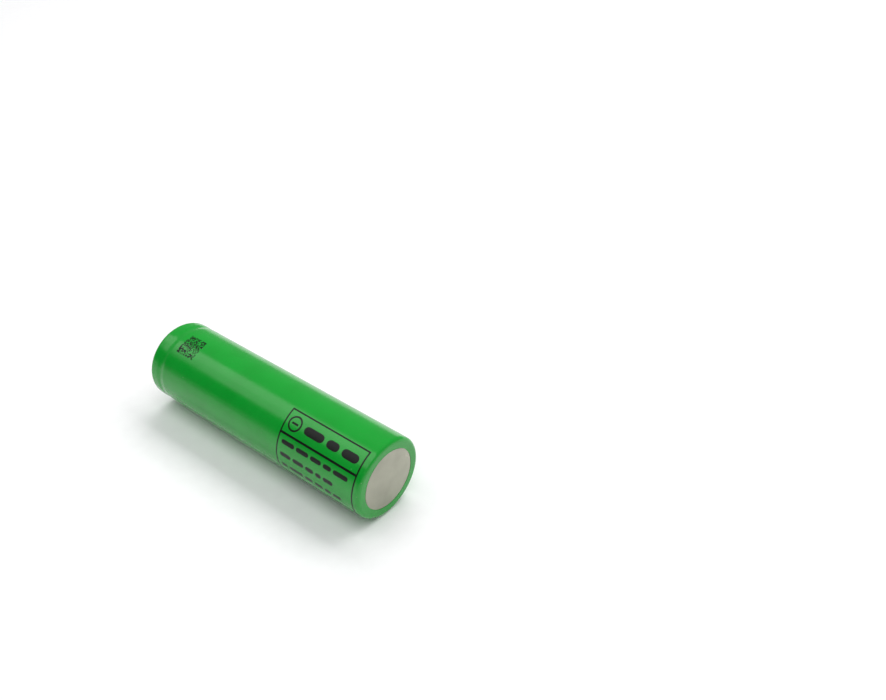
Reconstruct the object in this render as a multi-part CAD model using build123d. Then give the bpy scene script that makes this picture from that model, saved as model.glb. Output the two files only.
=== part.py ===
from build123d import *
import math
import os

# A cylindrical lithium-ion cell of 18650 size, in millimetres.
#
# Every piece is drawn upright first: z is the height above the negative end, which is at z = 0, and the
# positive cap's top is at z = cell_length. place() then lays the cell on its side, with its axis along X,
# the negative end at +X, the positive end at -X, and the sleeve resting on the floor at Z = 0.

# Driving dimensions
cell_diameter = 18.4
cell_length = 65.2
sleeve_thickness = 0.10
sheet = 0.25  # the can's steel
fit_gap = 0.03  # between round faces that are pressed or slid together
snap_travel = 0.60  # how far the burst disc's centre snaps towards the positive end

# Sleeve
sleeve_radius = cell_diameter / 2
sleeve_shoulder = 1.0
sleeve_fold_radius = 6.9  # the cut edge of the film on the negative end
sleeve_top_fold_radius = 7.1
sleeve_dip = 0.15  # how far the film sinks into the can's groove
sleeve_dip_margin = 0.05
sleeve_dip_run = 0.60
sleeve_dip_edge = 0.6
sleeve_dip_floor = 0.8

# Can
can_radius = sleeve_radius - sleeve_thickness
can_inner_radius = can_radius - sheet
can_shoulder = sleeve_shoulder - sleeve_thickness
lip_shoulder = 0.80
pad_height = 0.05
pad_radius = sleeve_fold_radius - 0.1
can_floor = sleeve_thickness + sheet
groove_middle = 61.50
groove_mouth = 1.90
groove_floor = 1.10
groove_depth = 1.25
groove_bend = 0.32
lip_radius = 6.9  # the bore of the crimped lip
washer_thickness = 0.20
fold_rise = 0.15  # the cap's top stands this much above the sleeve's fold
sleeve_top = cell_length - fold_rise
lip_top = sleeve_top - sleeve_thickness - washer_thickness

# Header: the stack of pieces that the crimp holds, from the groove's shelf upwards
shelf = groove_middle + groove_mouth / 2 + 0.20
gasket_flange = 0.45
gasket_wall = 0.45
gasket_slope = 0.35  # its underside follows the groove's flank
gasket_bore = 7.30
gasket_overhang = 0.20  # how much further in its upper flange reaches
gasket_edge = 0.15
gasket_corner = 0.70
stack_radius = can_inner_radius - gasket_wall - 2 * fit_gap
burst_thickness = 0.30
ptc_thickness = 0.35
cap_thickness = 0.40
burst_bottom = shelf + gasket_flange
ptc_bottom = burst_bottom + burst_thickness
cap_bottom = ptc_bottom + ptc_thickness
cap_flange_top = cap_bottom + cap_thickness
lip_bottom = lip_top - sheet

# Positive cap
cap_top_radius = 4.20
cap_foot_radius = 4.75
cap_corner = 0.35
window_count = 4
window_width = 2.4
window_height = 0.65
window_rise = 0.08
cap_foot_bend = 0.25
cap_foot_root = 0.20
cap_inner_corner = 0.10
first_window = 45.0
washer_bore = 5.10

# Current interrupter
dish_outer_radius = 4.80
dish_inner_radius = 2.80
score_radius = 2.20
score_width = 0.30
score_depth = 0.12
cross_score_width = 0.20
dish_bend = 0.30
ptc_bore = 5.40
ring_bore = 5.00
ring_radius = 7.20
plate_radius = 7.00
plate_thickness = 0.40
plate_top = burst_bottom - snap_travel
plate_bottom = plate_top - plate_thickness
plate_hole_count = 6
plate_hole_radius = 0.80
plate_hole_circle = 4.20
first_plate_hole = 30.0
button_radius = 1.00
button_thickness = 0.15
thinned_radius = 2.00
tear_gap = 0.05

# Winding, drawn with half as many turns as the real one, each twice as thick
core_radius = 1.85
half_turns = 19
pitch = 0.66
separator_thickness = 0.06
foil_thickness = 0.06
coating_thickness = 0.085
layer_gap = 0.02
separator_bottom = 0.90
separator_top = 58.90
anode_bottom = 1.60
anode_top = 58.20
cathode_bottom = 2.20
cathode_top = 57.60

# Insulators, tabs, tapes and pin
insulator_thickness = 0.30
insulator_hole = 1.60
lower_insulator_radius = 8.50
upper_insulator_bottom = 59.10
upper_insulator_radius = 8.50
vent_hole_radius = 0.90
vent_hole_circle = 6.30
vent_hole_angles = (0, 180, 225, 270, 315)
slot_gap = 0.30  # round a tab, where it passes an insulator
tab_thickness = 0.14
tab_width = 3.60
tape_thickness = 0.06
tape_gap = 0.02
tape_length = 3.40
cathode_tab_turn = 10  # the half turn of the winding that the tab is welded to
anode_tab_turn = 16
cathode_tab_fold = 60.60
cathode_tab_reach = 3.20
anode_tab_reach = 2.40
tab_bend = 0.30
leg_overlap = 0.30  # how far the anode tab's flat runs under its curved leg
anode_tape_inset = 0.20
anode_tape_lift = 0.50
anode_tape_gap = 0.05
pin_radius = 1.60
pin_wall = 0.25
pin_slit = 0.35
pin_bottom = 1.20
pin_top = 58.60
closing_tape_thickness = 0.06
closing_tape_length = 50.0
closing_tape_angle = 80.0

# Where the layers lie in one pitch of the winding, counted outwards from its start
electrode_thickness = foil_thickness + 2 * coating_thickness
separator_inner_start = 0.0
cathode_start = separator_inner_start + separator_thickness + layer_gap
separator_outer_start = cathode_start + electrode_thickness + layer_gap
anode_start = separator_outer_start + separator_thickness + layer_gap


def turned(*points, radius=0.0):
    """A solid turned about the upright axis from a closed outline of (radius, height) points."""
    with BuildLine(Plane.XZ):
        outline = FilletPolyline(*points, radius=radius, close=True)
    return revolve(make_face(outline.edges()), Axis.Z)


def ring(inner, outer, bottom, top):
    """A flat ring, or a disc where inner is 0."""
    return turned((inner, bottom), (outer, bottom), (outer, top), (inner, top))


def skin(points, radii, thickness):
    """A sheet of even thickness on the inside of an open outline of (radius, height) points."""
    with BuildLine(Plane.XZ):
        outer = FilletPolyline(*points, radius=radii)
    section = offset(outer, amount=thickness, side=Side.RIGHT)
    return revolve(make_face(section.edges()), Axis.Z)


def around(count, start=0.0):
    """Evenly spaced angles in degrees."""
    return [start + 360 * number / count for number in range(count)]


def polar(distance, angle):
    """A point on a circle about the axis, with the angle in degrees."""
    return (distance * math.cos(math.radians(angle)), distance * math.sin(math.radians(angle)))


def post(radius, bottom, top, distance=0.0, angle=0.0):
    """An upright round bar."""
    x, y = polar(distance, angle)
    return Pos(x, y, (bottom + top) / 2) * Cylinder(radius, top - bottom)


def half_turn(number, start):
    """The centre's x, the radius and the side (+1 or -1 in y) of a half turn of the winding."""
    quarter = pitch / 4
    side = 1 if number % 2 == 0 else -1
    return -side * quarter, core_radius + start + quarter + number * pitch / 2, side


def wound(start, thickness, bottom, top, first=0, last=half_turns):
    """A wound strip: a spiral band of half circles, each on a centre a half pitch from the last."""
    band = None
    for number in range(first, last):
        centre, radius, side = half_turn(number, start)
        with BuildSketch() as half:
            with Locations((centre, 0)):
                Circle(radius + thickness)
                Circle(radius, mode=Mode.SUBTRACT)
            with Locations((0, -side * cell_diameter)):
                Rectangle(4 * cell_diameter, 2 * cell_diameter, mode=Mode.SUBTRACT)
        band = half.sketch if band is None else band + half.sketch
    return extrude(Pos(0, 0, bottom) * band, top - bottom)


def curved_leg(number, start, thickness, width, bottom, top):
    """The end of a tab that stands in the winding, bent to the half turn that it is welded to."""
    centre, radius, side = half_turn(number, start)
    with BuildSketch() as section:
        with Locations((centre, 0)):
            Circle(radius + thickness)
            Circle(radius, mode=Mode.SUBTRACT)
        with Locations((centre, side * radius)):
            Rectangle(width, 4 * width, mode=Mode.INTERSECT)
    return extrude(Pos(0, 0, bottom) * section.sketch, top - bottom)


def strip(points, thickness, width, centre, bend):
    """A flat strip bent along a line of (y, z) points, which is one of its two sides."""
    with BuildLine(Plane.YZ):
        path = FilletPolyline(*points, radius=bend)
    section = offset(path, amount=thickness, side=Side.LEFT)
    return Pos(centre, 0, 0) * extrude(make_face(section.edges()), width / 2, both=True)


# Outer pieces


def sleeve():
    """Shrink film with a fold over each end, sunk a little where it bridges the can's groove."""
    reach = groove_mouth / 2 - sleeve_dip_margin
    dip_low = groove_middle - reach
    dip_high = groove_middle + reach
    inner = sleeve_radius - sleeve_dip
    points = [
        (sleeve_fold_radius, 0),
        (sleeve_radius, 0),
        (sleeve_radius, dip_low),
        (inner, dip_low + sleeve_dip_run),
        (inner, dip_high - sleeve_dip_run),
        (sleeve_radius, dip_high),
        (sleeve_radius, sleeve_top),
        (sleeve_top_fold_radius, sleeve_top),
    ]
    dip_bends = [sleeve_dip_edge, sleeve_dip_floor, sleeve_dip_floor, sleeve_dip_edge]
    radii = [sleeve_shoulder] + dip_bends + [lip_shoulder + sleeve_thickness]
    return skin(points, radii, sleeve_thickness)


def steel_can():
    """A deep-drawn can with a rolled groove under the header and its rim crimped over the gasket."""
    floor_radius = can_radius - groove_depth
    points = [
        (0, sleeve_thickness),
        (can_radius, sleeve_thickness),
        (can_radius, groove_middle - groove_mouth / 2),
        (floor_radius, groove_middle - groove_floor / 2),
        (floor_radius, groove_middle + groove_floor / 2),
        (can_radius, groove_middle + groove_mouth / 2),
        (can_radius, lip_top),
        (lip_radius, lip_top),
    ]
    radii = [can_shoulder] + 4 * [groove_bend] + [lip_shoulder]
    pad = ring(0, pad_radius, sleeve_thickness - pad_height, sleeve_thickness)
    return skin(points, radii, sheet) + pad


def top_washer():
    """The insulating ring on the crimped lip, under the sleeve's fold."""
    return ring(washer_bore, can_radius - lip_shoulder, lip_top, lip_top + washer_thickness)


# Header


def positive_cap():
    """A pressed steel cap: a flat contact on a short cone with vent windows, and a flange."""
    top = cell_length
    inner_top = top - cap_thickness
    foot = cap_foot_radius - cap_thickness
    points = [
        (0, top),
        (cap_top_radius, top),
        (cap_foot_radius, cap_flange_top),
        (stack_radius, cap_flange_top),
        (stack_radius, cap_bottom),
        (foot, cap_bottom),
        (cap_top_radius - cap_thickness, inner_top),
        (0, inner_top),
    ]
    cap = turned(*points, radius=[0, cap_corner, cap_foot_root, 0, 0, cap_foot_bend, cap_inner_corner, 0])
    middle = cap_flange_top + window_rise + window_height / 2
    for angle in around(window_count, first_window):
        x, y = polar(cap_foot_radius, angle)
        cap -= Pos(x, y, middle) * Rot(0, 0, angle) * Box(window_width, window_width, window_height)
    return cap


def ptc_ring():
    """The ring of conductive polymer that opens the circuit when it is hot."""
    return ring(ptc_bore, stack_radius, ptc_bottom, cap_bottom)


def burst_disc():
    """A dished aluminium diaphragm, scored round its centre and across, so that it can open as a vent."""
    low = plate_top
    high = low + burst_thickness
    points = [
        (0, low),
        (dish_inner_radius, low),
        (dish_outer_radius, burst_bottom),
        (stack_radius, burst_bottom),
        (stack_radius, ptc_bottom),
        (dish_outer_radius - 0.1, ptc_bottom),
        (dish_inner_radius - 0.1, high),
        (0, high),
    ]
    disc = turned(*points, radius=[0, dish_bend, dish_bend, 0, 0, dish_bend, dish_bend, 0])
    half = score_width / 2
    disc -= ring(score_radius - half, score_radius + half, high - score_depth, high + 1)
    for angle in (0, 90):
        disc -= Pos(0, 0, high) * Rot(0, 0, angle) * Box(2 * score_radius, cross_score_width, 2 * score_depth)
    return disc


def interrupter_insulator():
    """The plastic ring that keeps the burst disc's flange apart from the weld plate."""
    return ring(ring_bore, ring_radius, plate_top, burst_bottom)


def weld_plate():
    """The perforated aluminium plate, thinned round its centre, where the button is torn out."""
    plate = ring(button_radius + tear_gap, plate_radius, plate_bottom, plate_top)
    plate -= ring(0, thinned_radius, plate_bottom - 1, plate_top - button_thickness)
    for angle in around(plate_hole_count, first_plate_hole):
        plate -= post(plate_hole_radius, plate_bottom - 1, plate_top + 1, plate_hole_circle, angle)
    return plate


def weld_button():
    """The thin middle of the weld plate, which the burst disc carries away when it snaps."""
    return ring(0, button_radius, plate_top - button_thickness, plate_top)


def gasket():
    """The seal round the header: a wall against the can, with a flange under and over the stack."""
    outer = can_inner_radius - fit_gap
    wall = outer - gasket_wall
    points = [
        (gasket_bore, shelf - gasket_slope),
        (outer, shelf),
        (outer, lip_bottom),
        (gasket_bore - gasket_overhang, lip_bottom),
        (gasket_bore - gasket_overhang, cap_flange_top),
        (wall, cap_flange_top),
        (wall, burst_bottom),
        (gasket_bore, burst_bottom),
    ]
    return turned(*points, radius=[0, gasket_edge, gasket_corner, 0, 0, 0, 0, 0])


# Winding


def cathode_foil():
    """The aluminium current collector."""
    start = cathode_start + coating_thickness
    return wound(start, foil_thickness, cathode_bottom, cathode_top, 1)


def cathode_coating():
    """The oxide layer, one strip on each side of the aluminium foil."""
    outer = cathode_start + coating_thickness + foil_thickness
    inner_strip = wound(cathode_start, coating_thickness, cathode_bottom, cathode_top, 1)
    outer_strip = wound(outer, coating_thickness, cathode_bottom, cathode_top, 1)
    return Compound(inner_strip.solids() + outer_strip.solids())


def anode_foil():
    """The copper current collector."""
    start = anode_start + coating_thickness
    return wound(start, foil_thickness, anode_bottom, anode_top)


def anode_coating():
    """The graphite layer, one strip on each side of the copper foil."""
    outer = anode_start + coating_thickness + foil_thickness
    inner_strip = wound(anode_start, coating_thickness, anode_bottom, anode_top)
    outer_strip = wound(outer, coating_thickness, anode_bottom, anode_top)
    return Compound(inner_strip.solids() + outer_strip.solids())


def separator_inner():
    """The porous film under the cathode."""
    return wound(separator_inner_start, separator_thickness, separator_bottom, separator_top)


def separator_outer():
    """The porous film under the anode."""
    return wound(separator_outer_start, separator_thickness, separator_bottom, separator_top)


def centre_pin():
    """The slit tube that keeps the winding's core open."""
    pin = ring(pin_radius - pin_wall, pin_radius, pin_bottom, pin_top)
    middle = (pin_bottom + pin_top) / 2
    return pin - Pos(pin_radius, 0, middle) * Box(2 * pin_radius, pin_slit, pin_top)


def closing_tape():
    """The tape over the loose end of the winding."""
    centre, radius, side = half_turn(half_turns - 1, anode_start + electrode_thickness)
    low = (separator_bottom + separator_top - closing_tape_length) / 2
    reach = 2 * cell_diameter
    left = polar(reach, side * 90 - closing_tape_angle / 2)
    right = polar(reach, side * 90 + closing_tape_angle / 2)
    with BuildSketch() as section:
        with Locations((centre, 0)):
            Circle(radius + closing_tape_thickness)
            Circle(radius, mode=Mode.SUBTRACT)
        with BuildLine():
            Polyline((0, 0), left, right, close=True)
        make_face(mode=Mode.INTERSECT)
    return extrude(Pos(0, 0, low) * section.sketch, closing_tape_length)


# Tabs and insulators

cathode_leg = half_turn(cathode_tab_turn, cathode_start + coating_thickness)
anode_leg = half_turn(anode_tab_turn, anode_start + coating_thickness)


def leg_slot(leg, bottom, top):
    """The slot that lets a tab's leg through an insulator."""
    centre, radius, side = leg
    sagitta = radius - math.sqrt(radius**2 - (tab_width / 2) ** 2)
    middle = side * (radius - sagitta / 2)
    depth = sagitta + tab_thickness + 2 * slot_gap
    return Pos(centre, middle, (bottom + top) / 2) * Box(tab_width + 2 * slot_gap, depth, top - bottom + 1)


def upper_insulator():
    """The disc that keeps the winding away from the header, with vent holes."""
    top = upper_insulator_bottom + insulator_thickness
    disc = ring(insulator_hole, upper_insulator_radius, upper_insulator_bottom, top)
    disc -= leg_slot(cathode_leg, upper_insulator_bottom, top)
    for angle in vent_hole_angles:
        disc -= post(vent_hole_radius, upper_insulator_bottom - 1, top + 1, vent_hole_circle, angle)
    return disc


def lower_insulator():
    """The disc between the winding and the anode tab, notched for the tab."""
    bottom = can_floor + tab_thickness
    top = bottom + insulator_thickness
    disc = ring(insulator_hole, lower_insulator_radius, bottom, top)
    return disc - leg_slot(anode_leg, bottom, top)


def cathode_tab():
    """From the aluminium foil's edge, folded back once, to the weld plate's underside."""
    centre, radius, side = cathode_leg
    start = cathode_start + coating_thickness
    leg = curved_leg(cathode_tab_turn, start, tab_thickness, tab_width, cathode_top, cathode_tab_fold)
    high = plate_bottom - tab_thickness
    points = [
        (side * (radius + tab_thickness), cathode_tab_fold),
        (-cathode_tab_reach, cathode_tab_fold),
        (-cathode_tab_reach, high),
        (cathode_tab_reach, high),
    ]
    return leg + strip(points, tab_thickness, tab_width, centre, tab_bend)


def cathode_tab_tape():
    """Tape round the flat of the cathode tab, between its leg and its fold."""
    centre = cathode_leg[0]
    wide = tab_width + 2 * (tape_gap + tape_thickness)
    high = tab_thickness + 2 * (tape_gap + tape_thickness)
    hole = Box(tab_width + 2 * tape_gap, 2 * tape_length, tab_thickness + 2 * tape_gap)
    return Pos(centre, 0, cathode_tab_fold - tab_thickness / 2) * (Box(wide, tape_length, high) - hole)


def anode_tab():
    """From the copper foil's edge, bent flat under the lower insulator, to the can's floor."""
    centre, radius, side = anode_leg
    start = anode_start + coating_thickness
    leg = curved_leg(anode_tab_turn, start, tab_thickness, tab_width, can_floor, anode_bottom)
    far = side * (radius + tab_thickness - leg_overlap)
    near = -side * anode_tab_reach
    flat = Box(tab_width, abs(far - near), tab_thickness)
    return leg + Pos(centre, (far + near) / 2, can_floor + tab_thickness / 2) * flat


def anode_tab_tape():
    """Tape on the inner side of the anode tab's leg, where it passes the winding's edge."""
    start = anode_start + coating_thickness - tape_gap - tape_thickness
    width = tab_width - 2 * anode_tape_inset
    low = can_floor + anode_tape_lift
    return curved_leg(anode_tab_turn, start, tape_thickness, width, low, anode_bottom - anode_tape_gap)


def place(piece):
    """Lay the upright cell on its side, centred over the origin."""
    return Pos(cell_length / 2, 0, sleeve_radius) * Rot(0, -90, 0) * piece


pieces = [
    sleeve,
    steel_can,
    top_washer,
    positive_cap,
    ptc_ring,
    burst_disc,
    interrupter_insulator,
    weld_plate,
    weld_button,
    gasket,
    upper_insulator,
    lower_insulator,
    cathode_foil,
    cathode_coating,
    separator_inner,
    separator_outer,
    anode_foil,
    anode_coating,
    centre_pin,
    closing_tape,
    cathode_tab,
    cathode_tab_tape,
    anode_tab,
    anode_tab_tape,
]

os.makedirs("parts", exist_ok=True)
for make in pieces:
    export_step(place(make()), f"parts/{make.__name__}.step")
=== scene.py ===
import logging
import math
import random
from dataclasses import dataclass, field

import bpy
from mathutils import Matrix, Quaternion, Vector


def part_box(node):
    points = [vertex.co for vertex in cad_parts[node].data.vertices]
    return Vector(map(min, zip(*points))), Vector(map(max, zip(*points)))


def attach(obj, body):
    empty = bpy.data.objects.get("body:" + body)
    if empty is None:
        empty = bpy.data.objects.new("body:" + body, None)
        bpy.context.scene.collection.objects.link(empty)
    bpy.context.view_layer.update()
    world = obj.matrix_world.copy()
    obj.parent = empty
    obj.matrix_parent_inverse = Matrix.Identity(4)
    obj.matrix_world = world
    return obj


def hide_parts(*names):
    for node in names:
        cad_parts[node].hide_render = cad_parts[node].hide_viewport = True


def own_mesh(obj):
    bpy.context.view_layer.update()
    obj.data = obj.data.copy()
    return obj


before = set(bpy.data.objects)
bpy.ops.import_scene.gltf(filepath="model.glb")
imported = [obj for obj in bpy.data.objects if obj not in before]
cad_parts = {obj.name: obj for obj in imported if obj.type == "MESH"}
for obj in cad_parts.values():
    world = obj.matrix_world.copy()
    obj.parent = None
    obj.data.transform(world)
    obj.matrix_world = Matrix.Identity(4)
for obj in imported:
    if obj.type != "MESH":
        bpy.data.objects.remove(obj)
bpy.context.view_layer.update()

MM = 0.001
BODY = "cell"
CREASE_DEGREES = 38.0
NOISE_ROUGHNESS = 0.55
LOG = logging.getLogger("cell")

Outline = list[tuple[float, float]]
Tree = bpy.types.NodeTree
Node = bpy.types.Node
Socket = bpy.types.NodeSocket


# Shared helpers


def linear(code: str) -> tuple[float, float, float, float]:
    """Turn an sRGB hex colour to linear light.

    Args:
        code: The colour, such as "#12843c".

    Returns:
        Red, green, blue and an alpha of 1.
    """
    channels = [int(code[place : place + 2], 16) / 255 for place in (1, 3, 5)]
    red, green, blue = [c / 12.92 if c <= 0.04045 else ((c + 0.055) / 1.055) ** 2.4 for c in channels]
    return (red, green, blue, 1.0)


def add_node(
    tree: Tree,
    kind: str,
    settings: dict[str | int, object] | None = None,
    links: dict[str | int, Socket] | None = None,
) -> Node:
    """Add a node to a tree.

    Args:
        tree: The tree that the node goes into.
        kind: The node's type, such as "ShaderNodeBump".
        settings: Values of its sockets, by name or number, and of its properties, by name.
        links: What feeds its sockets, by name or number.

    Returns:
        The new node.
    """
    node = tree.nodes.new(kind)
    for name, value in (settings or {}).items():
        if isinstance(name, int) or name in node.inputs:
            node.inputs[name].default_value = value
        else:
            setattr(node, name, value)
    for name, source in (links or {}).items():
        tree.links.new(source, node.inputs[name])
    return node


def per_mm(size: float) -> float:
    """The scale that gives a texture features of a size in millimetres."""
    return 1 / (size * MM)


def arc(centre: tuple[float, float], radius: float, start: float, end: float, steps: int) -> Outline:
    """Points along an arc.

    Args:
        centre: The arc's centre, as (distance from the negative end, radius), in millimetres.
        radius: The arc's radius in millimetres.
        start: Its first angle in degrees, from the axis's direction towards the outside.
        end: Its last angle in degrees.
        steps: How many spans it is divided into.

    Returns:
        The points, both ends included.
    """
    angles = [math.radians(start + (end - start) * step / steps) for step in range(steps + 1)]
    return [(centre[0] + radius * math.cos(a), centre[1] + radius * math.sin(a)) for a in angles]


def spread(first: float, last: float, spacing: float) -> list[float]:
    """Evenly spaced values from first to last, about spacing apart, without the two ends."""
    count = max(1, round(abs(last - first) / spacing))
    return [first + (last - first) * step / count for step in range(1, count)]


@dataclass(frozen=True)
class CellFrame:
    """The cell's own directions: distance from the negative end, radius and angle round the axis.

    The angle is 0 facing -Y, and 90 straight up. Distances and radii are in millimetres.
    """

    end_x: float
    axis_z: float
    radius: float
    length: float

    @classmethod
    def from_cad(cls) -> "CellFrame":
        """Read the cell's place and size from the CAD model.

        Returns:
            The cell's directions.
        """
        low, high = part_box("sleeve")
        cap_low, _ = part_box("positive_cap")
        radius = (high[2] - low[2]) / 2
        return cls(high[0], low[2] + radius, radius / MM, (high[0] - cap_low[0]) / MM)

    def point(self, distance: float, radius: float, angle: float) -> tuple[float, float, float]:
        """A place on the cell.

        Args:
            distance: How far from the negative end, in millimetres.
            radius: How far from the axis, in millimetres.
            angle: Degrees round the axis.

        Returns:
            The place in metres, in the shared frame.
        """
        turn = math.radians(angle)
        across = radius * MM
        return (self.end_x - distance * MM, -across * math.cos(turn), self.axis_z + across * math.sin(turn))


def new_piece(
    name: str,
    points: list[tuple[float, float, float]],
    faces: list[tuple[int, ...]],
    material: bpy.types.Material,
) -> bpy.types.Object:
    """Make an object of the cell, smooth between its creases, riding on its body.

    Args:
        name: The piece's name.
        points: Its corners in metres.
        faces: Its faces, as numbers of corners.
        material: What it is made of.

    Returns:
        The new object.
    """
    mesh = bpy.data.meshes.new(name)
    mesh.from_pydata(points, [], faces)
    mesh.validate()
    mesh.shade_smooth()
    mesh.set_sharp_from_angle(angle=math.radians(CREASE_DEGREES))
    mesh.materials.append(material)
    piece = bpy.data.objects.new(name, mesh)
    bpy.context.scene.collection.objects.link(piece)
    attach(piece, BODY)
    LOG.info("%s: %d faces", name, len(mesh.polygons))
    return piece


# Finishes


@dataclass(frozen=True)
class Finish:
    """A surface: its name, its sRGB colour and how it reflects. A subclass adds its pattern."""

    name: str
    colour: str
    roughness: float
    metallic: float = 0.0
    ior: float = 1.5

    def material(self) -> bpy.types.Material:
        """Build the material, or find it if it is built already.

        Returns:
            The material.
        """
        found = bpy.data.materials.get(self.name)
        if found:
            return found
        made = bpy.data.materials.new(self.name)
        made.use_nodes = True
        tree = made.node_tree
        tree.nodes.clear()
        settings = {
            "Base Color": linear(self.colour),
            "Roughness": self.roughness,
            "Metallic": self.metallic,
            "IOR": self.ior,
        }
        shader = add_node(tree, "ShaderNodeBsdfPrincipled", settings)
        add_node(tree, "ShaderNodeOutputMaterial", links={"Surface": shader.outputs["BSDF"]})
        place = add_node(tree, "ShaderNodeTexCoord").outputs["Object"]
        self.pattern(tree, shader, place)
        return made

    def pattern(self, tree: Tree, shader: Node, place: Socket) -> None:
        """Add what makes the surface more than one flat colour.

        Args:
            tree: The material's nodes.
            shader: Its shader.
            place: Where a point lies, in metres.
        """
        raise NotImplementedError

    def noise(self, tree: Tree, place: Socket, size: float, detail: float = 3.0) -> Socket:
        """A soft random pattern whose features are about size millimetres across."""
        settings = {"Scale": per_mm(size), "Detail": detail, "Roughness": NOISE_ROUGHNESS}
        return add_node(tree, "ShaderNodeTexNoise", settings, {"Vector": place}).outputs["Fac"]

    def remap(self, tree: Tree, value: Socket, low: float, high: float, to: tuple[float, float]) -> Socket:
        """Map a value from low and high to the two ends of to, and hold it there outside them."""
        settings = {"From Min": low, "From Max": high, "To Min": to[0], "To Max": to[1], "clamp": True}
        return add_node(tree, "ShaderNodeMapRange", settings, {"Value": value}).outputs["Result"]

    def tint(self, tree: Tree, amount: Socket, first: str, second: str) -> Socket:
        """Blend two sRGB colours by an amount from 0 to 1."""
        settings = {"data_type": "RGBA", 6: linear(first), 7: linear(second)}
        return add_node(tree, "ShaderNodeMix", settings, {0: amount}).outputs[2]

    def relief(self, tree: Tree, height: Socket, depth: float, below: Socket | None = None) -> Socket:
        """Add a bump, on top of another one if given.

        Args:
            tree: The material's nodes.
            height: The pattern, from 0 to 1.
            depth: The bump's full height in millimetres.
            below: The normal that it goes on.

        Returns:
            The bumped normal.
        """
        links = {"Height": height}
        if below:
            links["Normal"] = below
        settings = {"Strength": 1.0, "Distance": depth * MM}
        return add_node(tree, "ShaderNodeBump", settings, links).outputs["Normal"]


@dataclass(frozen=True)
class ShrinkFilm(Finish):
    """Heat-shrink PVC film, extruded as a tube and shrunk on with hot air."""

    # the eye gets a saturated green with a clear but soft-edged gloss, broken by faint orange peel, by long
    # lines from the die, and by a few pale specks of dust
    deep: str = "#09982a"
    peel_mm: float = 0.9
    waviness_mm: float = 6.0
    speck_mm: float = 2.6
    speck_size: float = 0.035
    speck_colour: str = "#b7c9b4"
    speck_cover: float = 0.45
    dye_mm: float = 9.0
    rub_mm: float = 3.5
    line_mm: float = 0.35
    line_stretch: float = 0.04
    line_depth: float = 0.0006
    peel_depth: float = 0.0014
    wave_depth: float = 0.006
    speck_depth: float = 0.01

    def pattern(self, tree: Tree, shader: Node, place: Socket) -> None:
        """Uneven dye, orange peel, lengthwise extrusion lines and a few specks of dust.

        Args:
            tree: The material's nodes.
            shader: Its shader.
            place: Where a point lies, in metres.
        """
        dye = self.noise(tree, place, self.dye_mm, 2.0)
        dyed = self.tint(tree, self.remap(tree, dye, 0.35, 0.65, (0.0, 1.0)), self.colour, self.deep)
        cell = add_node(tree, "ShaderNodeTexVoronoi", {"Scale": per_mm(self.speck_mm)}, {"Vector": place})
        speck = self.remap(tree, cell.outputs["Distance"], self.speck_size, self.speck_size * 0.5, (0.0, 1.0))
        settings = {"data_type": "RGBA", 7: linear(self.speck_colour)}
        share = {"operation": "MULTIPLY", 1: self.speck_cover}
        faint = add_node(tree, "ShaderNodeMath", share, {0: speck}).outputs[0]
        dusty = add_node(tree, "ShaderNodeMix", settings, {0: faint, 6: dyed}).outputs[2]
        tree.links.new(dusty, shader.inputs["Base Color"])
        rub = self.noise(tree, place, self.rub_mm, 4.0)
        gloss = self.remap(tree, rub, 0.3, 0.7, (self.roughness - 0.02, self.roughness + 0.05))
        tree.links.new(gloss, shader.inputs["Roughness"])
        stretched = {"Scale": (self.line_stretch, 1.0, 1.0)}
        along = add_node(tree, "ShaderNodeMapping", stretched, {"Vector": place}).outputs[0]
        lines = self.relief(tree, self.noise(tree, along, self.line_mm, 2.0), self.line_depth)
        peel = self.relief(tree, self.noise(tree, place, self.peel_mm, 2.0), self.peel_depth, lines)
        wave = self.relief(tree, self.noise(tree, place, self.waviness_mm, 1.0), self.wave_depth, peel)
        tree.links.new(self.relief(tree, speck, self.speck_depth, wave), shader.inputs["Normal"])


@dataclass(frozen=True)
class PlatedSteel(Finish):
    """Nickel-plated steel, drawn or pressed to shape."""

    # the eye gets a warm grey satin metal with soft, cloudy reflections and no mirror image
    dull: str = "#9f9e90"
    cloud_mm: float = 4.0
    grain_mm: float = 0.11
    grain_depth: float = 0.0035
    scuff_mm: float = 0.3
    scuff_depth: float = 0.0015

    def pattern(self, tree: Tree, shader: Node, place: Socket) -> None:
        """Plating grain, cloudy patches in the gloss, and hairline scuffs.

        Args:
            tree: The material's nodes.
            shader: Its shader.
            place: Where a point lies, in metres.
        """
        cloud = self.noise(tree, place, self.cloud_mm, 4.0)
        tone = self.tint(tree, self.remap(tree, cloud, 0.3, 0.75, (0.0, 1.0)), self.colour, self.dull)
        tree.links.new(tone, shader.inputs["Base Color"])
        gloss = self.remap(tree, cloud, 0.3, 0.7, (self.roughness - 0.05, self.roughness + 0.07))
        tree.links.new(gloss, shader.inputs["Roughness"])
        # the real grain is a few hundredths of a millimetre; it is drawn a little coarser, to show
        grain = self.relief(tree, self.noise(tree, place, self.grain_mm, 2.0), self.grain_depth)
        turned = add_node(tree, "ShaderNodeMapping", {"Rotation": (0.7, 0.0, 0.0), "Scale": (1.0, 0.05, 1.0)})
        tree.links.new(place, turned.inputs["Vector"])
        marks = self.noise(tree, turned.outputs[0], self.scuff_mm, 5.0)
        scuff = self.remap(tree, marks, 0.62, 0.72, (0.0, 1.0))
        tree.links.new(self.relief(tree, scuff, self.scuff_depth, grain), shader.inputs["Normal"])


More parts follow.
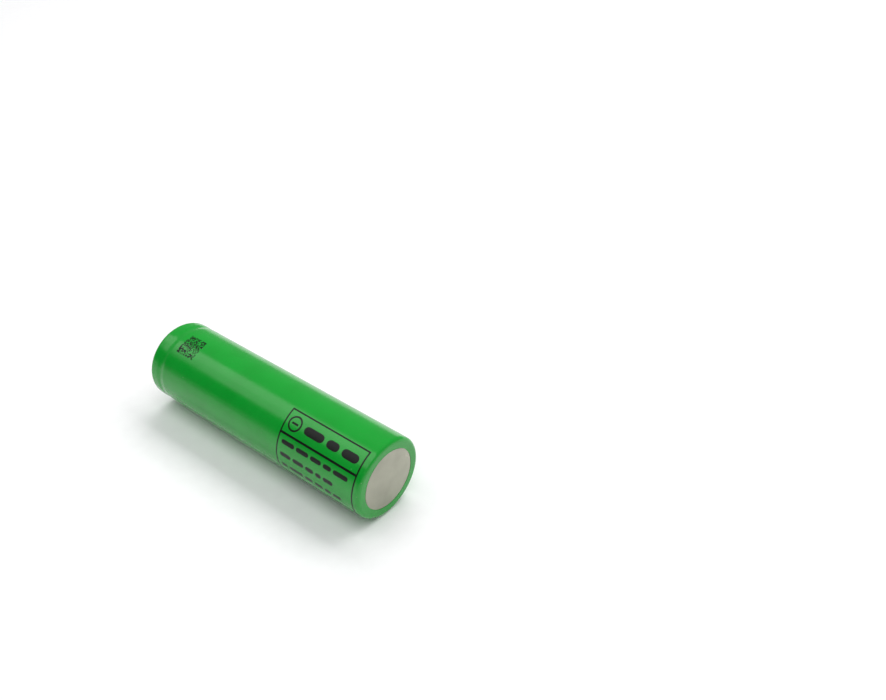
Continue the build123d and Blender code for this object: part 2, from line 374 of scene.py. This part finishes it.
@dataclass(frozen=True)
class RolledMetal(Finish):
    """Foil, sheet or strip of metal, rolled to thickness."""

    # the eye gets bright metal whose gloss is drawn out by fine lines along the rolling direction; the real
    # lines are a few hundredths of a millimetre apart, and are drawn coarser, to show
    line_mm: float = 0.12
    line_stretch: float = 0.05
    line_depth: float = 0.002

    def pattern(self, tree: Tree, shader: Node, place: Socket) -> None:
        """Rolling lines in the gloss and the surface.

        Args:
            tree: The material's nodes.
            shader: Its shader.
            place: Where a point lies, in metres.
        """
        stretched = {"Scale": (1.0, self.line_stretch, self.line_stretch)}
        along = add_node(tree, "ShaderNodeMapping", stretched, {"Vector": place}).outputs[0]
        lines = self.noise(tree, along, self.line_mm, 3.0)
        gloss = self.remap(tree, lines, 0.3, 0.7, (self.roughness - 0.06, self.roughness + 0.08))
        tree.links.new(gloss, shader.inputs["Roughness"])
        tree.links.new(self.relief(tree, lines, self.line_depth), shader.inputs["Normal"])


@dataclass(frozen=True)
class PressedPowder(Finish):
    """A layer of oxide or graphite powder, coated wet, dried and pressed between rollers."""

    # the eye gets a dark, dry, even surface; the real grains are about a hundredth of a millimetre across,
    # and are drawn coarser, to show
    light: str = "#2e2f31"
    grain_mm: float = 0.08
    grain_depth: float = 0.006

    def pattern(self, tree: Tree, shader: Node, place: Socket) -> None:
        """Powder grain in the colour and the surface.

        Args:
            tree: The material's nodes.
            shader: Its shader.
            place: Where a point lies, in metres.
        """
        grain = self.noise(tree, place, self.grain_mm, 2.0)
        tone = self.tint(tree, self.remap(tree, grain, 0.35, 0.8, (0.0, 1.0)), self.colour, self.light)
        tree.links.new(tone, shader.inputs["Base Color"])
        tree.links.new(self.relief(tree, grain, self.grain_depth), shader.inputs["Normal"])


@dataclass(frozen=True)
class MouldedPolymer(Finish):
    """Moulded, cast or drawn polymer, such as polypropylene or polyethylene."""

    # the eye gets a quiet, even surface with a soft highlight and a faint mould texture
    shade: str = "#b9b7ae"
    texture_mm: float = 0.25
    texture_depth: float = 0.004
    cloud_mm: float = 3.0

    def pattern(self, tree: Tree, shader: Node, place: Socket) -> None:
        """Mould texture and slow changes of tone.

        Args:
            tree: The material's nodes.
            shader: Its shader.
            place: Where a point lies, in metres.
        """
        cloud = self.noise(tree, place, self.cloud_mm, 3.0)
        tone = self.tint(tree, self.remap(tree, cloud, 0.3, 0.8, (0.0, 1.0)), self.colour, self.shade)
        tree.links.new(tone, shader.inputs["Base Color"])
        texture = self.noise(tree, place, self.texture_mm, 2.0)
        tree.links.new(self.relief(tree, texture, self.texture_depth), shader.inputs["Normal"])


@dataclass(frozen=True)
class FibreBoard(Finish):
    """Pressed insulating paper board, stamped to shape."""

    # the eye gets a dry, matte surface with short fibres lying mostly one way
    fibre: str = "#dddbd2"
    fibre_mm: float = 0.35
    fibre_depth: float = 0.012

    def pattern(self, tree: Tree, shader: Node, place: Socket) -> None:
        """Short fibres in the colour and the surface.

        Args:
            tree: The material's nodes.
            shader: Its shader.
            place: Where a point lies, in metres.
        """
        stretched = {"Rotation": (0.5, 0.0, 0.0), "Scale": (1.0, 1.0, 0.25)}
        along = add_node(tree, "ShaderNodeMapping", stretched, {"Vector": place}).outputs[0]
        fibres = self.noise(tree, along, self.fibre_mm, 5.0)
        tone = self.tint(tree, self.remap(tree, fibres, 0.4, 0.65, (0.0, 1.0)), self.colour, self.fibre)
        tree.links.new(tone, shader.inputs["Base Color"])
        tree.links.new(self.relief(tree, fibres, self.fibre_depth), shader.inputs["Normal"])


@dataclass(frozen=True)
class PrintInk(Finish):
    """Black ink, printed on the film by flexography."""

    # the eye gets a satin black, a little duller than the film, in which pinholes let the green through;
    # real pinholes are finer, and are drawn coarser, to show
    thin: str = "#0b2612"
    pinhole_mm: float = 0.16
    cover_depth: float = 0.0015

    def pattern(self, tree: Tree, shader: Node, place: Socket) -> None:
        """Uneven ink cover.

        Args:
            tree: The material's nodes.
            shader: Its shader.
            place: Where a point lies, in metres.
        """
        cover = self.noise(tree, place, self.pinhole_mm, 3.0)
        tone = self.tint(tree, self.remap(tree, cover, 0.55, 0.75, (0.0, 1.0)), self.colour, self.thin)
        tree.links.new(tone, shader.inputs["Base Color"])
        tree.links.new(self.relief(tree, cover, self.cover_depth), shader.inputs["Normal"])


FILM = ShrinkFilm("heat_shrink_pvc_film", "#0b9f2e", 0.19, ior=1.53)
CAN_STEEL = PlatedSteel("nickel_plated_drawn_steel", "#a9a899", 0.32, metallic=1.0)
CAP_STEEL = PlatedSteel("nickel_plated_pressed_steel", "#d0cec4", 0.30, metallic=1.0, dull="#c2c0b4")
WASHER_BOARD = FibreBoard("white_insulating_board", "#ecebe4", 0.75)
DISC_BOARD = FibreBoard("tan_insulating_board", "#cfc39c", 0.75, fibre="#ab9c72")
HEADER_PLASTIC = MouldedPolymer("moulded_polypropylene", "#dcdad0", 0.5, ior=1.49)
PTC_POLYMER = MouldedPolymer("carbon_filled_polyethylene", "#1d1d1e", 0.6, ior=1.51, shade="#2b2b2c")
SEPARATOR_FILM = MouldedPolymer("porous_polyethylene_film", "#e9e9e6", 0.55, ior=1.51, texture_mm=0.12)
TAPE_FILM = MouldedPolymer("polyimide_tape", "#a8701a", 0.28, ior=1.7, shade="#8a5a12")
ALUMINIUM_SHEET = RolledMetal("rolled_aluminium_sheet", "#dfe0e2", 0.32, metallic=1.0)
ALUMINIUM_FOIL = RolledMetal("rolled_aluminium_foil", "#e4e5e7", 0.22, metallic=1.0)
COPPER_FOIL = RolledMetal("rolled_copper_foil", "#d98e6b", 0.25, metallic=1.0)
NICKEL_STRIP = RolledMetal("rolled_nickel_strip", "#c9c5b8", 0.28, metallic=1.0)
PIN_STEEL = RolledMetal("rolled_stainless_steel", "#bdbdbb", 0.30, metallic=1.0)
OXIDE_LAYER = PressedPowder("calendered_oxide_coating", "#131314", 0.8)
GRAPHITE_LAYER = PressedPowder("calendered_graphite_coating", "#1b1c1e", 0.6, light="#3a3c40")
INK = PrintInk("black_flexographic_ink", "#060a06", 0.36, ior=1.4)

FLOOR_SHEET = MouldedPolymer("white_acrylic_sheet", "#fcfcfc", 0.5, ior=1.49, shade="#f8f8f8", texture_mm=1.5)
CARD = MouldedPolymer("black_card", "#060606", 0.9, shade="#0a0a0a")

KEPT_NODES = {
    "steel_can": CAN_STEEL,
    "top_washer": WASHER_BOARD,
    "positive_cap": CAP_STEEL,
    "ptc_ring": PTC_POLYMER,
    "interrupter_insulator": HEADER_PLASTIC,
    "gasket": HEADER_PLASTIC,
    "weld_plate": ALUMINIUM_SHEET,
    "weld_button": ALUMINIUM_SHEET,
    "upper_insulator": DISC_BOARD,
    "lower_insulator": DISC_BOARD,
    "cathode_foil": ALUMINIUM_FOIL,
    "cathode_coating": OXIDE_LAYER,
    "anode_foil": COPPER_FOIL,
    "anode_coating": GRAPHITE_LAYER,
    "separator_inner": SEPARATOR_FILM,
    "separator_outer": SEPARATOR_FILM,
    "centre_pin": PIN_STEEL,
    "closing_tape": TAPE_FILM,
    "cathode_tab": ALUMINIUM_SHEET,
    "cathode_tab_tape": TAPE_FILM,
    "anode_tab": NICKEL_STRIP,
    "anode_tab_tape": TAPE_FILM,
}


# Sub-assemblies


@dataclass
class Sleeve:
    """The shrink film: a thin closed shell, folded over both ends.

    Sizes are in millimetres, but end_reach, pucker_middle and pucker_reach count shoulder radii.
    """

    cell: CellFrame
    thickness: float = 0.10
    shoulder: float = 1.00
    fold_radius: float = 6.90
    top_rise: float = 0.15
    top_shoulder: float = 0.90
    top_fold_radius: float = 7.10
    dip_middle: float = 61.50
    dip_reach: float = 1.30
    dip_depth: float = 0.13
    edge_wave: float = 0.07
    pucker: float = 0.018
    dip_unevenness: float = 0.16
    dip_shift: float = 40.0
    end_reach: float = 2.5
    pucker_middle: float = 0.8
    pucker_reach: float = 1.6
    pucker_count: int = 34
    pucker_shift: float = 60.0
    steps_around: int = 288
    corner_steps: int = 14
    fold_spacing: float = 0.2
    side_spacing: float = 1.2
    dip_spacing: float = 0.1
    neck_spacing: float = 0.25
    seed: int = 7
    waves: list[tuple[int, float, float]] = field(default_factory=list)

    def __post_init__(self) -> None:
        """Draw the random waves of the cut edges once, from a fixed seed."""
        draw = random.Random(self.seed)
        self.waves = [(count, draw.uniform(0.3, 1.0), draw.uniform(0, 360)) for count in (2, 3, 5, 8, 13, 21)]

    def wave(self, angle: float, shift: float) -> float:
        """A smooth random value from about -1 to 1 that closes on itself round the cell."""
        total = sum(size * math.sin(math.radians(n * angle + turn + shift)) for n, size, turn in self.waves)
        return total / sum(size for _, size, _ in self.waves)

    def line(self, inset: float) -> Outline:
        """The film's profile from one cut edge to the other.

        Args:
            inset: How far inside the outer surface it runs.

        Returns:
            Its (distance, radius) points.
        """
        top = self.cell.length - self.top_rise
        side = self.cell.radius
        low = self.shoulder
        high = top - self.top_shoulder
        dip_start = self.dip_middle - self.dip_reach
        dip_end = self.dip_middle + self.dip_reach
        flat = spread(self.fold_radius, side - self.shoulder, self.fold_spacing)
        points = [(inset, self.fold_radius)] + [(inset, radius) for radius in flat]
        points += arc((low, side - low), self.shoulder - inset, 180, 90, self.corner_steps)
        stations = spread(low, dip_start, self.side_spacing) + [dip_start]
        stations += spread(dip_start, dip_end, self.dip_spacing) + [dip_end]
        stations += spread(dip_end, high, self.neck_spacing)
        points += [(station, side - inset) for station in stations]
        centre = (high, side - self.top_shoulder)
        points += arc(centre, self.top_shoulder - inset, 90, 0, self.corner_steps)
        flat = spread(side - self.top_shoulder, self.top_fold_radius, self.fold_spacing)
        return points + [(top - inset, radius) for radius in flat] + [(top - inset, self.top_fold_radius)]

    def shrunk(self, distance: float, radius: float, angle: float) -> tuple[float, float]:
        """Where a point of the smooth profile lies on the real film.

        Args:
            distance: How far from the negative end.
            radius: How far from the axis.
            angle: Degrees round the axis.

        Returns:
            Its distance and radius with the dip, the puckers and the uneven cut edges.
        """
        side = self.cell.radius
        offset = (distance - self.dip_middle) / self.dip_reach
        if abs(offset) < 1:
            share = 0.5 + 0.5 * math.cos(math.pi * offset)
            radius -= self.dip_depth * share * (1 + self.dip_unevenness * self.wave(angle, self.dip_shift))
        for end, fold, shoulder in (
            (0.0, self.fold_radius, self.shoulder),
            (self.cell.length - self.top_rise, self.top_fold_radius, self.top_shoulder),
        ):
            if abs(distance - end) < self.end_reach * shoulder:
                inner = max(0.0, (side - shoulder - radius) / (side - shoulder - fold))
                radius += self.edge_wave * inner * self.wave(angle, end)
                away = abs(abs(distance - end) - self.pucker_middle * shoulder)
                height = max(0.0, 1 - away / (self.pucker_reach * shoulder))
                turn = math.radians(self.pucker_count * angle + self.pucker_shift * end)
                radius -= self.pucker * height * (0.5 + 0.5 * math.sin(turn))
        return distance, radius

    def build(self) -> bpy.types.Object:
        """Build the film's mesh and dress it.

        Returns:
            The film.
        """
        outer = self.line(0.0)
        inner = self.line(self.thickness)
        nick = self.thickness * 0.3
        outer[0] = (nick, outer[0][1])
        outer[-1] = (outer[-1][0] - nick, outer[-1][1])
        outer.insert(1, (0.0, self.fold_radius + nick))
        outer.insert(-1, (self.cell.length - self.top_rise, self.top_fold_radius + nick))
        loop = outer + inner[::-1]
        points = []
        for step in range(self.steps_around):
            angle = 360 * step / self.steps_around
            points += [self.cell.point(*self.shrunk(s, r, angle), angle) for s, r in loop]
        size = len(loop)
        faces = []
        for step in range(self.steps_around):
            here = step * size
            there = (step + 1) % self.steps_around * size
            for number in range(size):
                after = (number + 1) % size
                faces.append((here + number, there + number, there + after, here + after))
        piece = new_piece("shrink_film", points, faces, FILM.material())
        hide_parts("sleeve")
        return piece


@dataclass
class Print:
    """Neutral marks in ink on the film: a framed panel of plain bars, and a square of dots.

    Places are (distance from the negative end, millimetres along the surface from straight up).
    """

    cell: CellFrame
    sink: float = 0.03
    stand: float = 0.006
    panel_start: float = 1.45
    panel_end: float = 23.10
    panel_top: float = 3.10
    header_height: float = 5.30
    panel_height: float = 20.6
    rule: float = 0.34
    header_rule: float = 0.50
    row_pitch: float = 2.90
    row_bar: float = 1.00
    row_margin: float = 1.0
    row_ragged: tuple[float, float] = (0.9, 5.0)
    row_indent: float = 1.2
    bar_lengths: tuple[float, float] = (1.6, 4.6)
    bar_gap: float = 0.55
    header_bar: float = 1.90
    header_bars: tuple[tuple[float, float], ...] = ((17.6, 12.2), (11.3, 8.0), (7.1, 2.7))
    ring_radius: float = 1.75
    ring_line: float = 0.38
    minus_half_length: float = 0.85
    minus_half_width: float = 0.22
    square_start: float = 53.70
    square_top: float = 0.10
    square_size: float = 5.30
    square_cells: int = 22
    square_cover: float = 0.50
    square_seed: int = 5
    panel_seed: int = 21
    arc_step: float = 0.3
    corner_spans: int = 5
    blunting: float = 0.98
    points: list[tuple[float, float, float]] = field(default_factory=list)
    faces: list[tuple[int, ...]] = field(default_factory=list)

    def block(self, start: float, end: float, top: float, bottom: float, rounding: float = 0.0) -> None:
        """Add a closed, curved block of ink.

        Args:
            start: Its end nearer the negative end.
            end: Its other end.
            top: Its upper edge, along the surface from straight up.
            bottom: Its lower edge.
            rounding: The radius of its corners.
        """
        side = self.cell.radius
        spacing = min(self.arc_step, rounding / self.corner_spans) if rounding else self.arc_step
        steps = max(1, math.ceil((bottom - top) / spacing))
        first = len(self.points)
        for step in range(steps + 1):
            along = top + (bottom - top) * step / steps
            angle = 90 - math.degrees(along / side)
            edge = rounding - min(rounding, along - top, bottom - along)
            inset = rounding - math.sqrt(max(0.0, rounding**2 - edge**2))
            inset = min(inset, rounding * self.blunting)
            for distance, radius in (
                (start + inset, side - self.sink),
                (end - inset, side - self.sink),
                (end - inset, side + self.stand),
                (start + inset, side + self.stand),
            ):
                self.points.append(self.cell.point(distance, radius, angle))
        for step in range(steps):
            base = first + 4 * step
            for number in range(4):
                after = (number + 1) % 4
                self.faces.append((base + number, base + after, base + 4 + after, base + 4 + number))
        self.faces.append((first + 3, first + 2, first + 1, first))
        last = first + 4 * steps
        self.faces.append((last, last + 1, last + 2, last + 3))

    def ring(self, middle: float, along: float, outer: float, inner: float, steps: int = 64) -> None:
        """Add a closed ring of ink.

        Args:
            middle: Its centre's distance from the negative end.
            along: Its centre's place along the surface from straight up.
            outer: Its outer radius.
            inner: Its inner radius.
            steps: How many spans it is divided into.
        """
        side = self.cell.radius
        first = len(self.points)
        for step in range(steps):
            turn = 2 * math.pi * step / steps
            for reach, radius in (
                (inner, side - self.sink),
                (outer, side - self.sink),
                (outer, side + self.stand),
                (inner, side + self.stand),
            ):
                angle = 90 - math.degrees((along + reach * math.sin(turn)) / side)
                self.points.append(self.cell.point(middle + reach * math.cos(turn), radius, angle))
        for step in range(steps):
            here = first + 4 * step
            there = first + 4 * ((step + 1) % steps)
            for number in range(4):
                after = (number + 1) % 4
                self.faces.append((here + number, here + after, there + after, there + number))

    def finish_piece(self, name: str) -> bpy.types.Object:
        """Make a piece of the blocks added so far and start afresh.

        Args:
            name: The piece's name.

        Returns:
            The new piece.
        """
        piece = new_piece(name, self.points, self.faces, INK.material())
        self.points, self.faces = [], []
        return piece

    def build_panel(self) -> bpy.types.Object:
        """Draw the framed panel: a header with a ringed minus and broad bars, then rows of plain bars.

        Returns:
            The panel.
        """
        start, end, top = self.panel_start, self.panel_end, self.panel_top
        bottom = top + self.panel_height
        header = top + self.header_height
        self.block(start, end, top, top + self.rule)
        self.block(start, end, header, header + self.header_rule)
        self.block(start, end, bottom - self.rule, bottom)
        for left in (start, end - self.rule):
            self.block(left, left + self.rule, top + self.rule, header)
            self.block(left, left + self.rule, header + self.header_rule, bottom - self.rule)
        middle = top + self.header_height / 2 + self.rule / 2
        mark = end - self.row_margin - self.ring_radius
        self.ring(mark, middle, self.ring_radius, self.ring_radius - self.ring_line)
        long, wide = self.minus_half_length, self.minus_half_width
        self.block(mark - long, mark + long, middle - wide, middle + wide)
        half = self.header_bar / 2
        for far, near in self.header_bars:
            self.block(near, far, middle - half, middle + half, half)
        draw = random.Random(self.panel_seed)
        row = header + self.header_rule + self.row_margin
        while row + self.row_bar < bottom - self.row_margin:
            place = end - self.row_indent
            stop = start + draw.uniform(*self.row_ragged)
            while place > stop + self.row_bar:
                length = min(draw.uniform(*self.bar_lengths), place - stop)
                self.block(place - length, place, row, row + self.row_bar, self.row_bar / 2)
                place -= length + self.bar_gap
            row += self.row_pitch
        return self.finish_piece("printed_panel")

    def build_square(self) -> bpy.types.Object:
        """Draw the square of dots, which are placed at random and encode nothing.

        Returns:
            The square.
        """
        draw = random.Random(self.square_seed)
        pitch = self.square_size / self.square_cells
        for column in range(self.square_cells):
            start = self.square_start + column * pitch
            row = 0
            while row < self.square_cells:
                run = 0
                while row + run < self.square_cells and draw.random() < self.square_cover:
                    run += 1
                if run:
                    top = self.square_top + row * pitch
                    self.block(start, start + pitch * self.blunting, top, top + run * pitch)
                row += run + 1
        return self.finish_piece("printed_dots")


@dataclass
class Interrupter:
    """The burst disc, which in the real cell bends flat as the interrupter snaps; here it keeps its CAD
    shape.
    """

    joint: str = "interrupter_snap"

    def build(self) -> bpy.types.Object:
        """Copy the disc from the CAD model onto the cell's body, with a mesh of its own, and hide the CAD
        node.

        Returns:
            The copied disc.
        """
        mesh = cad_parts["burst_disc"].data.copy()
        mesh.name = "bending_disc"
        mesh.materials.clear()
        mesh.materials.append(ALUMINIUM_SHEET.material())
        piece = bpy.data.objects.new("bending_disc", mesh)
        bpy.context.scene.collection.objects.link(piece)
        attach(piece, BODY)
        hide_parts("burst_disc")
        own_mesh(piece)
        LOG.info("bending_disc: %d faces", len(mesh.polygons))
        return piece


@dataclass
class KeptNodes:
    """The CAD nodes that stay as they are, each with a finish of its own."""

    finishes: dict[str, Finish] = field(default_factory=lambda: dict(KEPT_NODES))

    def dress(self) -> None:
        """Give every kept node its material."""
        for name, finish in self.finishes.items():
            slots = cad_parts[name].material_slots
            for slot in slots:
                slot.material = finish.material()
            LOG.info("%s: %s", name, finish.name)


@dataclass(frozen=True)
class Panel:
    """A rectangular soft light, with its place and size in metres.

    radiance is how bright its face is, and in_gloss whether glossy surfaces reflect it.
    """

    name: str
    place: tuple[float, float, float]
    size: tuple[float, float]
    radiance: float
    in_gloss: bool = True


@dataclass
class Studio:
    """A pale floor, soft light from above and the camera. Sizes are in metres."""

    floor_radius: float = 0.60
    floor_sides: int = 180
    lens_mm: float = 38.31
    azimuth: float = 38.58
    pitch: float = 36.14
    roll: float = 0.39
    stand: tuple[float, float, float] = (0.12736, -0.10149, 0.14275)
    room_strength: float = 0.30
    backdrop_strength: float = 0.74
    panels: tuple[Panel, ...] = (
        Panel("overhead_panel", (0.05, -0.10, 0.60), (1.55, 0.26), 1.35),
        Panel("front_panel", (0.05, -0.38, 0.60), (1.55, 0.30), 0.95),
        Panel("back_panel", (0.00, 0.42, 0.55), (0.85, 0.40), 4.3, in_gloss=False),
    )
    card_x: tuple[float, float] = (-1.20, 0.50)
    card_y: float = -0.60
    card_z: tuple[float, float] = (0.10, 0.58)
    room_colour: str = "#fbfcff"
    sensor_mm: float = 36.0
    near_clip: float = 0.005

    def build_floor(self) -> None:
        """A round plain sheet under the cell."""
        mesh = bpy.data.meshes.new("floor")
        turns = [math.radians(360 / self.floor_sides * side) for side in range(self.floor_sides)]
        corners = [(self.floor_radius * math.cos(t), self.floor_radius * math.sin(t), 0.0) for t in turns]
        mesh.from_pydata(corners, [], [tuple(range(len(corners)))])
        floor = bpy.data.objects.new("floor", mesh)
        bpy.context.scene.collection.objects.link(floor)
        mesh.materials.append(FLOOR_SHEET.material())

    def softbox(self, panel: Panel) -> None:
        """Hang one panel, facing straight down and unseen by the camera.

        Args:
            panel: The panel.
        """
        light = bpy.data.lights.new(panel.name, "AREA")
        light.shape = "RECTANGLE"
        light.size, light.size_y = panel.size
        light.energy = math.pi * panel.size[0] * panel.size[1] * panel.radiance
        lamp = bpy.data.objects.new(panel.name, light)
        lamp.location = panel.place
        lamp.visible_camera = False
        lamp.visible_glossy = panel.in_gloss
        bpy.context.scene.collection.objects.link(lamp)

    def build_light(self) -> None:
        """Hang the panels in a pale room, which looks brighter to the camera than it lights the cell."""
        for panel in self.panels:
            self.softbox(panel)
        world = bpy.data.worlds.new("pale_room")
        world.use_nodes = True
        tree = world.node_tree
        tree.nodes.clear()
        colour = linear(self.room_colour)
        settings = {"Color": colour, "Strength": self.room_strength}
        room = add_node(tree, "ShaderNodeBackground", settings).outputs[0]
        settings = {"Color": colour, "Strength": self.backdrop_strength}
        backdrop = add_node(tree, "ShaderNodeBackground", settings).outputs[0]
        seen = add_node(tree, "ShaderNodeLightPath").outputs["Is Camera Ray"]
        both = add_node(tree, "ShaderNodeMixShader", links={0: seen, 1: room, 2: backdrop}).outputs[0]
        add_node(tree, "ShaderNodeOutputWorld", links={"Surface": both})
        bpy.context.scene.world = world
        bpy.context.scene.view_settings.view_transform = "Standard"

    def build_card(self) -> None:
        """Stand a black card beside the cell, seen only in gloss, as a dark band."""
        left, right = self.card_x
        low, high = self.card_z
        corners = [(left, self.card_y, low), (right, self.card_y, low)]
        corners += [(right, self.card_y, high), (left, self.card_y, high)]
        mesh = bpy.data.meshes.new("black_card")
        mesh.from_pydata(corners, [], [(0, 1, 2, 3)])
        mesh.materials.append(CARD.material())
        card = bpy.data.objects.new("black_card", mesh)
        card.visible_camera = False
        card.visible_diffuse = False
        card.visible_shadow = False
        bpy.context.scene.collection.objects.link(card)

    def build_camera(self) -> None:
        """The camera, above and in front of the negative end."""
        turn, fall = math.radians(self.azimuth), math.radians(self.pitch)
        look = Vector((-math.sin(turn) * math.cos(fall), math.cos(turn) * math.cos(fall), -math.sin(fall)))
        aim = look.to_track_quat("-Z", "Y") @ Quaternion((0.0, 0.0, 1.0), math.radians(self.roll))
        data = bpy.data.cameras.new("camera")
        data.lens = self.lens_mm
        data.sensor_width = self.sensor_mm
        data.clip_start = self.near_clip
        camera = bpy.data.objects.new("camera", data)
        camera.matrix_world = Matrix.Translation(self.stand) @ aim.to_matrix().to_4x4()
        bpy.context.scene.collection.objects.link(camera)
        bpy.context.scene.camera = camera

    def build(self) -> None:
        """Build the camera, the floor, the light and the card."""
        self.build_camera()
        self.build_floor()
        self.build_light()
        self.build_card()
        LOG.info("studio built")


def main() -> None:
    """Build the studio and the cell, piece by piece."""
    logging.basicConfig(level=logging.INFO, format="%(message)s")
    Studio().build()
    cell = CellFrame.from_cad()
    Sleeve(cell).build()
    marks = Print(cell)
    marks.build_panel()
    marks.build_square()
    Interrupter().build()
    KeptNodes().dress()


if __name__ == "__main__":
    main()
